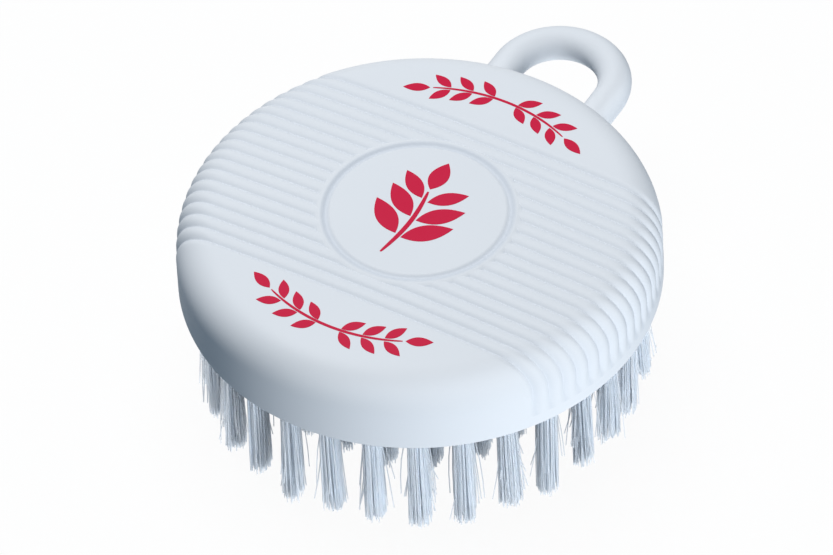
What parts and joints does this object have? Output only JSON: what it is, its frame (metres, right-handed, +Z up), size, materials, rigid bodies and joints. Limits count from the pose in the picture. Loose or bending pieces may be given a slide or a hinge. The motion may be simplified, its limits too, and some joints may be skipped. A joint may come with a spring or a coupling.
{
  "type": "vegetable brush",
  "caption": "Round palm-held vegetable brush: ribbed white plastic block with a flat round medallion, a hanging loop at the rim and rings of wire-anchored bristle tufts underneath.",
  "frame": {"origin": "on the block's axis, in the plane of the bristle tips that the brush stands on", "axes": "+Z up out of the top of the block, +X along the ribs, +Y towards the hanging loop"},
  "size_m": [0.06, 0.0742, 0.0283],
  "materials": {
    "moulding": "white moulded plastic, satin gloss",
    "bristle": "translucent milky plastic filament",
    "anchor": "plain flat wire"
  },
  "bodies": {
    "root": {"anchor_wires": "anchor", "brush_body": "moulding", "tuft_centre": "bristle", "tuft_outer_01": "bristle", "tuft_outer_02": "bristle", "tuft_outer_03": "bristle", "tuft_outer_04": "bristle", "tuft_outer_05": "bristle", "tuft_outer_06": "bristle", "tuft_outer_07": "bristle", "tuft_outer_08": "bristle", "tuft_outer_09": "bristle", "tuft_outer_10": "bristle", "tuft_outer_11": "bristle", "tuft_outer_12": "bristle", "tuft_outer_13": "bristle", "tuft_outer_14": "bristle", "tuft_outer_15": "bristle", "tuft_outer_16": "bristle", "tuft_outer_17": "bristle", "tuft_outer_18": "bristle", "tuft_outer_19": "bristle", "tuft_outer_20": "bristle", "tuft_outer_21": "bristle", "tuft_outer_22": "bristle", "tuft_outer_23": "bristle", "tuft_outer_24": "bristle", "tuft_outer_25": "bristle", "tuft_outer_26": "bristle", "tuft_outer_27": "bristle", "tuft_outer_28": "bristle", "tuft_outer_29": "bristle", "tuft_outer_30": "bristle", "tuft_second_01": "bristle", "tuft_second_02": "bristle", "tuft_second_03": "bristle", "tuft_second_04": "bristle", "tuft_second_05": "bristle", "tuft_second_06": "bristle", "tuft_second_07": "bristle", "tuft_second_08": "bristle", "tuft_second_09": "bristle", "tuft_second_10": "bristle", "tuft_second_11": "bristle", "tuft_second_12": "bristle", "tuft_second_13": "bristle", "tuft_second_14": "bristle", "tuft_second_15": "bristle", "tuft_second_16": "bristle", "tuft_second_17": "bristle", "tuft_second_18": "bristle", "tuft_second_19": "bristle", "tuft_second_20": "bristle", "tuft_second_21": "bristle", "tuft_second_22": "bristle", "tufts_fourth_ring": "bristle", "tufts_third_ring": "bristle"}
  },
  "joints": []
}
